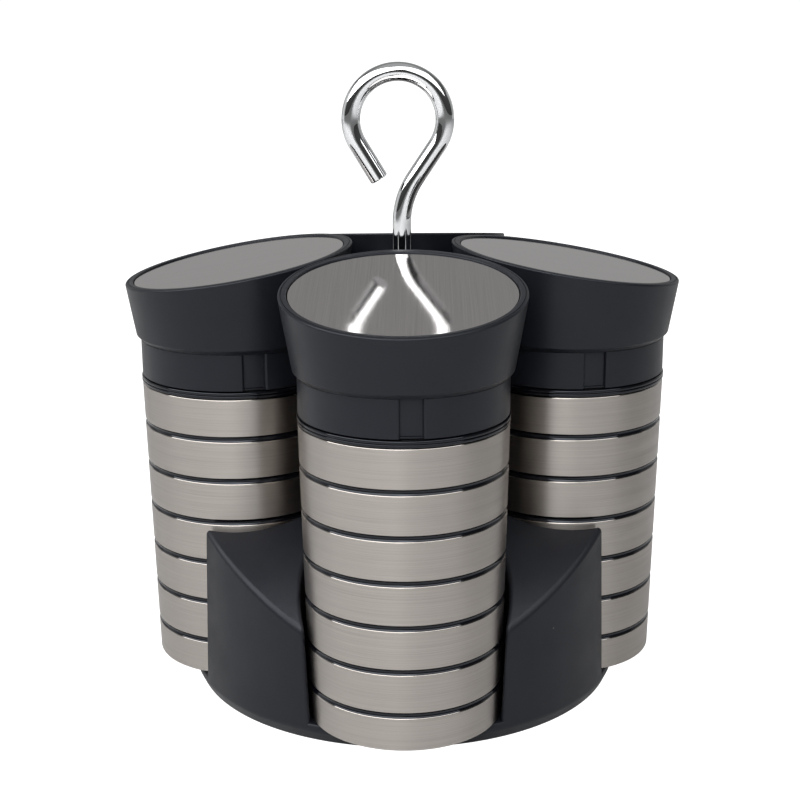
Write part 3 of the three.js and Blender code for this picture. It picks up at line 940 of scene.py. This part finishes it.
def inner_mesh():
    """Container with a gloss shoulder ring of two beads, and a neck."""
    inset = SLEEVE_WALL + INNER_GAP
    inside = inset + INNER_WALL
    ring_low = SLEEVE_HIGH - SLEEVE_LOW + 0.12 * MM
    ring_high = RING_TOP - SLEEVE_LOW
    waist = (ring_low + ring_high) / 2
    neck_top = NECK_TOP - SLEEVE_LOW
    seat = COLLAR_RADIUS - COLLAR_WALL
    bead = 0.4 * MM
    half_waist = 0.12 * MM
    return turned_mesh("inner_shape", [
        (0, INNER_BOTTOM, 0),
        (sleeve_radius(0) - inset, INNER_BOTTOM, 0.8 * MM),
        (sleeve_radius(ring_low) - inset, ring_low, 0),
        (NECK_RING_RADIUS, ring_low, bead),
        (NECK_RING_RADIUS, waist - half_waist, bead),
        (NECK_RING_RADIUS - 0.3 * MM, waist, 0),
        (NECK_RING_RADIUS, waist + half_waist, bead),
        (NECK_RING_RADIUS, ring_high, bead),
        (seat, ring_high, 0.1 * MM),
        (seat, SHOULDER_TOP, 0.1 * MM),
        (NECK_RADIUS, SHOULDER_TOP, 0.3 * MM),
        (NECK_RADIUS, neck_top, 0.5 * MM),
        (NECK_BORE, neck_top, 0.5 * MM),
        (NECK_BORE, SHOULDER_TOP - INNER_WALL, 1 * MM),
        (sleeve_radius(INNER_STRAIGHT_TOP) - inside, INNER_STRAIGHT_TOP, 1.5 * MM),
        (sleeve_radius(0) - inside, INNER_FLOOR, 1.5 * MM),
        (0, INNER_FLOOR, 0),
    ])


def seal_mesh():
    """Rubber ring that lies on the shoulder, round the neck."""
    low = SHOULDER_TOP + GAP
    high = RING_TOP - SLEEVE_LOW
    soft = 0.3 * MM
    return turned_mesh("seal_shape", [
        (NECK_RADIUS + GAP, low, soft),
        (SEAL_RADIUS, low, soft),
        (SEAL_RADIUS, high, soft),
        (NECK_RADIUS + GAP, high, soft),
    ], True)


def shaker_mesh():
    """Cup that hangs in the neck. Its floor has a pouring opening on one side, sifting holes on the other."""
    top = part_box("shaker_insert_front")[1].z - SLEEVE_LOW
    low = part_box("shaker_insert_front")[0].z - SLEEVE_LOW
    inside = SHAKER_RADIUS - SHAKER_WALL
    floor_top = low + SHAKER_WALL
    neck_top = NECK_TOP - SLEEVE_LOW + GAP
    mesh = bmesh.new()
    walls = rounded([
        (0, low, 0),
        (SHAKER_RADIUS, low, 0.5 * MM),
        (SHAKER_RADIUS, neck_top, 0.2 * MM),
        (SHAKER_FLANGE, neck_top, 0.3 * MM),
        (SHAKER_FLANGE, top, 0.4 * MM),
        (inside, top, 0.4 * MM),
        (inside, floor_top, 0.4 * MM),
        (0, floor_top, 0),
    ], 4, False)[1:-1]
    made = add_rings(mesh, [level_ring(r, z, 96) for r, z in walls], False)

    soft = 2 * MM
    outlines = [rounded([
        (POUR_NEAR, -POUR_HALF_WIDTH, soft),
        (POUR_FAR, -POUR_HALF_WIDTH, soft),
        (POUR_FAR, POUR_HALF_WIDTH, soft),
        (POUR_NEAR, POUR_HALF_WIDTH, soft),
    ], 6)]
    for i in range(SIFTING_HOLES):
        angle = math.pi + math.radians(SIFTING_STEP * (i - (SIFTING_HOLES - 1) / 2))
        centre = (SIFTING_RING * math.cos(angle), SIFTING_RING * math.sin(angle))
        outlines.append(arc_points(centre, SIFTING_HOLE_RADIUS, 0, 2 * math.pi, 24))
    cut_edges = []
    for height, rim in ((low, made[0]), (floor_top, made[-1])):
        loops = [[mesh.verts.new((x, y, height)) for x, y in outline] for outline in outlines]
        edges = {e for v in rim for e in v.link_edges if e.other_vert(v) in rim}
        for loop in loops:
            edges |= {mesh.edges.new((a, b)) for a, b in zip(loop, loop[1:] + loop[:1])}
        bmesh.ops.triangle_fill(mesh, edges=list(edges), use_beauty=True)
        cut_edges.append(loops)
    for lower, upper in zip(*cut_edges):
        for i in range(len(lower)):
            j = (i + 1) % len(lower)
            mesh.faces.new((lower[i], lower[j], upper[j], upper[i]))
    return solid_of(mesh, "shaker_shape")


def bent_band(mesh, inner, outer, low, high, opening, soft):
    """A wall round the axis that stops at both sides of an opening centred on +X, with soft edges."""
    half = opening / 2 / outer
    arc = [math.pi / 2 * k / 5 for k in range(6)]
    bevel = [(soft * (1 - math.cos(a)) / outer, soft * (1 - math.sin(a))) for a in arc]
    steps = 120
    start, end = half, 2 * math.pi - half
    sections = [(start + shift, inset) for shift, inset in bevel]
    first, last = sections[-1][0], 2 * math.pi - sections[-1][0]
    sections += [(first + (last - first) * k / steps, 0.0) for k in range(1, steps + 1)]
    sections += [(end - shift, inset) for shift, inset in reversed(bevel[:-1])]
    edge = min(0.15 * MM, 0.4 * (outer - inner))
    rings = []
    for angle, inset in sections:
        face = outer - min(inset, 0.75 * (outer - inner))
        profile = rounded([
            (inner, low, edge),
            (face, low, edge),
            (face, high, edge),
            (inner, high, edge),
        ], 3)
        rings.append([(r * math.cos(angle), r * math.sin(angle), z) for r, z in profile])
    made = add_rings(mesh, rings, False)
    mesh.faces.new(made[0])
    mesh.faces.new(list(reversed(made[-1])))


def collar_mesh():
    """Lid ring: an outer wall with the pouring window, and a web that grips the neck."""
    low = COLLAR_LOW - SLEEVE_LOW
    high = COLLAR_HIGH - SLEEVE_LOW
    inside = COLLAR_RADIUS - COLLAR_WALL
    mesh = bmesh.new()
    bent_band(mesh, inside, COLLAR_RADIUS, low, high, WINDOW_WIDTH - 0.8 * MM, 0.65 * MM)
    turned(mesh, rounded([
        (COLLAR_WEB_BORE, low, 0.2 * MM),
        (inside - 0.1 * MM, low, 0.05 * MM),
        (inside - 0.1 * MM, low + COLLAR_SILL, 0.05 * MM),
        (COLLAR_WEB_RADIUS, low + COLLAR_SILL, 0.05 * MM),
        (COLLAR_WEB_RADIUS, low + COLLAR_WEB, 0.2 * MM),
        (COLLAR_WEB_BORE, low + COLLAR_WEB, 0.3 * MM),
    ], 3), True)
    return solid_of(mesh, "collar_shape")


def slant_ring(inset, depth, share=1.0):
    """A ring on the cap's cone drawn in by inset, at a depth under its slanted top. Outward is +X.

    share shrinks the ring towards the axis, down to a single point there.
    """
    fall = math.tan(CAP_TILT)
    down = depth / math.cos(CAP_TILT)
    base = CAP_RADIUS + CAP_FLARE * (CAP_AXIS_HEIGHT - down - cap_foot()) - inset
    if share == 0:
        return [(0, 0, CAP_AXIS_HEIGHT - down)]
    ring = []
    for i in range(ROUND):
        angle = 2 * math.pi * i / ROUND
        radius = share * base / (1 + CAP_FLARE * fall * math.cos(angle))
        x = radius * math.cos(angle)
        ring.append((x, radius * math.sin(angle), CAP_AXIS_HEIGHT - down - fall * x))
    return ring


def cap_foot():
    """Height from which the cap's cone flares."""
    return COLLAR_HIGH - SLEEVE_LOW + GAP


def cap_low():
    """The cap's lower edge, all but touching the collar."""
    return COLLAR_HIGH - SLEEVE_LOW + 0.05 * MM


def slant_edge(inset, soft, angles, top=0.0):
    """Rings round a soft edge that turns from the slanted face at a depth, top, into the wall."""
    return [slant_ring(inset + soft * (1 - math.cos(a)), top + soft * (1 - math.sin(a))) for a in angles]


def cap_mesh():
    """Slanted cap, hollow below: a pocket for the disc, a lip with a fine line in it and a flaring wall."""
    deck = DISC_RECESS + DISC_THICKNESS + GAP
    soft_in, soft_out = 0.3 * MM, 0.6 * MM
    line, line_width, line_depth = 0.85 * MM, 0.14 * MM, 0.22 * MM
    quarter = [math.pi / 2 * k / 5 for k in range(6)]
    rings = [slant_ring(CAP_LIP, deck, 0)]
    rings += [slant_ring(CAP_LIP, deck, share) for share in (0.5, 1)]
    rings += [slant_ring(CAP_LIP, deck / 2)]
    rings += [slant_ring(CAP_LIP - soft_in * (1 - math.cos(a)), soft_in * (1 - math.sin(a))) for a in quarter]
    rings += [
        slant_ring(line + line_width, 0),
        slant_ring(line + 0.4 * line_width, line_depth),
        slant_ring(line - 0.4 * line_width, line_depth),
        slant_ring(line - line_width, 0),
    ]
    rings += slant_edge(0, soft_out, reversed(quarter))
    rim = rings[-1]
    low = cap_low()
    foot_radius = CAP_RADIUS + CAP_FLARE * CAP_CHAMFER
    foot_height = cap_foot() + CAP_CHAMFER
    foot = level_ring(foot_radius, foot_height)
    for share in (0.3, 0.65, 0.95):
        rings.append([tuple(a + (b - a) * share for a, b in zip(p, q)) for p, q in zip(rim, foot)])
    soft_foot = 0.5 * MM
    edge = rounded([
        (foot_radius + soft_foot * CAP_FLARE, foot_height + soft_foot, 0),
        (foot_radius, foot_height, soft_foot),
        (CAP_RADIUS - CAP_CHAMFER, low, 0.15 * MM),
        (SKIRT_RADIUS, low, 0),
    ], 4, False)[1:]
    rings += [level_ring(radius, height) for radius, height in edge]
    inner_base = CAP_RADIUS + CAP_FLARE * CAP_WALL - CAP_WALL
    rings += [level_ring(SKIRT_RADIUS - SKIRT_WALL, low), level_ring(inner_base, low + CAP_WALL)]
    rings += [slant_ring(CAP_WALL, deck + DECK_THICKNESS, share) for share in (1, 0)]
    mesh = bmesh.new()
    add_rings(mesh, rings, False)
    return solid_of(mesh, "cap_shape")


def skirt_mesh():
    """Inner skirt of the cap, open on the cap's high side, where it meets the window to pour."""
    mesh = bmesh.new()
    low = COLLAR_LOW - SLEEVE_LOW + COLLAR_SILL + 0.05 * MM
    high = cap_low() + 0.2 * MM
    bent_band(mesh, SKIRT_RADIUS - SKIRT_WALL, SKIRT_RADIUS, low, high, WINDOW_WIDTH, 0.2 * MM)
    return solid_of(mesh, "skirt_shape")


def disc_mesh():
    """Steel disc in the cap, with a rolled edge and a map that runs along its brushing."""
    inset = CAP_LIP + GAP * 0.5
    soft = 0.25 * MM
    quarter = [math.pi / 2 * k / 4 for k in range(5)]
    top, bottom = DISC_RECESS, DISC_RECESS + DISC_THICKNESS
    rings = [slant_ring(inset, top, share) for share in (0, 0.4, 0.8)]
    rings += slant_edge(inset, soft, reversed(quarter), top)
    rings += [slant_ring(inset, bottom, share) for share in (1, 0)]
    mesh = bmesh.new()
    add_rings(mesh, rings, False)
    data = solid_of(mesh, "disc_shape")
    brush = data.uv_layers.new(name="brush")
    for loop in data.loops:
        x, y, _ = data.vertices[loop.vertex_index].co
        brush.data[loop.index].uv = (0.5 + 10 * x, 0.5 + 10 * y)
    return data


def make_jars():
    """Makes each shape once, and places it in all four jars."""
    pieces = (
        # CAD node, piece, mesh, material, slot, body it rides on, frame it stands in
        ("steel_sleeve", "sleeve_jacket", sleeve_mesh(), SLEEVE_STEEL, "sleeve_steel", "jar", "upright"),
        ("jar_inner", "jar_container", inner_mesh(), GLOSS_BLACK, "jar_gloss", "jar", "upright"),
        ("neck_seal", "seal_ring", seal_mesh(), RUBBER, "rubber", "jar", "upright"),
        ("shaker_insert", "shaker_cup", shaker_mesh(), TRAY_PLASTIC, "tray_plastic", "jar", "window"),
        ("lid_collar", "window_collar", collar_mesh(), LID_PLASTIC, "lid_plastic", "lid", "window"),
        ("slant_cap", "twist_cap", cap_mesh(), LID_PLASTIC, "lid_plastic", "cap", "cap"),
        ("cap_disc", "brushed_disc", disc_mesh(), DISC_STEEL, "disc_steel", "cap", "cap"),
    )
    enamel = enamel_mesh()
    skirt = skirt_mesh()
    for name in JARS:
        centre = jar_middle[name]
        place = math.atan2(centre.y, centre.x)
        upright = Matrix.Translation((centre.x, centre.y, SLEEVE_LOW)) @ Matrix.Rotation(place, 4, "Z")
        frames = {
            "upright": upright,
            "window": upright @ Matrix.Rotation(math.radians(WINDOW_TURN[name]), 4, "Z"),
            "cap": upright @ Matrix.Rotation(math.radians(CAP_TURN[name]), 4, "Z"),
        }
        for node, title, data, material, slot, body, stand in pieces:
            place_piece(
                f"{title}_{name}", data, material, f"{body}_{name}", f"{node}_{name}", frames[stand])
        place_piece(f"groove_enamel_{name}", enamel, GLOSS_BLACK, f"jar_{name}", None, upright)
        high_side = frames["cap"] @ Matrix.Rotation(math.pi, 4, "Z")
        place_piece(f"cap_skirt_{name}", skirt, LID_PLASTIC, f"cap_{name}", None, high_side)


make_camera()
make_studio()
make_foot()
make_tray()
make_pole()
make_jars()
